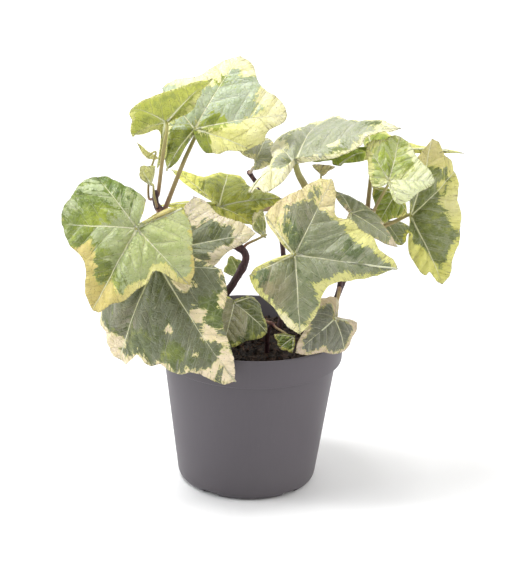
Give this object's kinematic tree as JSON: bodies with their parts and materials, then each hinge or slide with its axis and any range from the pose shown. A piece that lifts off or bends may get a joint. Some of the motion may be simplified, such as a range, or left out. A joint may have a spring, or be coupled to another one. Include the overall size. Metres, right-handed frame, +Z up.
{
  "type": "potted ivy",
  "caption": "Small variegated ivy of trailing vines and lobed leaves, growing in soil in a round tapered plastic nursery pot that stands on its flat base.",
  "frame": {"origin": "centre of the pot's underside, on the surface the pot stands on", "axes": "+Z up along the pot's axis, -Y towards the side the leaves face, +X to the viewer's right from there"},
  "size_m": [0.185, 0.1013, 0.2067],
  "materials": {
    "pot_plastic": "matte",
    "peat": "matte",
    "vine_bark": "satin",
    "leaf": "satin"
  },
  "bodies": {
    "root": {"pot": "pot_plastic", "soil": "peat", "vine_back": "vine_bark", "vine_front": "vine_bark", "vine_left": "vine_bark", "vine_outer": "vine_bark", "vine_right": "vine_bark", "leaf_behind": "leaf", "leaf_bud_left": "leaf", "leaf_bud_low": "leaf", "leaf_front_left": "leaf", "leaf_front_right": "leaf", "leaf_lime_back": "leaf", "leaf_lime_mid": "leaf", "leaf_low_left": "leaf", "leaf_low_mid": "leaf", "leaf_low_right": "leaf", "leaf_lower_left": "leaf", "leaf_mid_left": "leaf", "leaf_right_hanging": "leaf", "leaf_right_lime": "leaf", "leaf_right_long": "leaf", "leaf_right_low": "leaf", "leaf_right_top": "leaf", "leaf_top": "leaf", "leaf_top_back": "leaf", "leaf_top_centre": "leaf", "leaf_top_left": "leaf", "leaf_young_cream": "leaf", "leaf_young_middle": "leaf"}
  },
  "joints": []
}
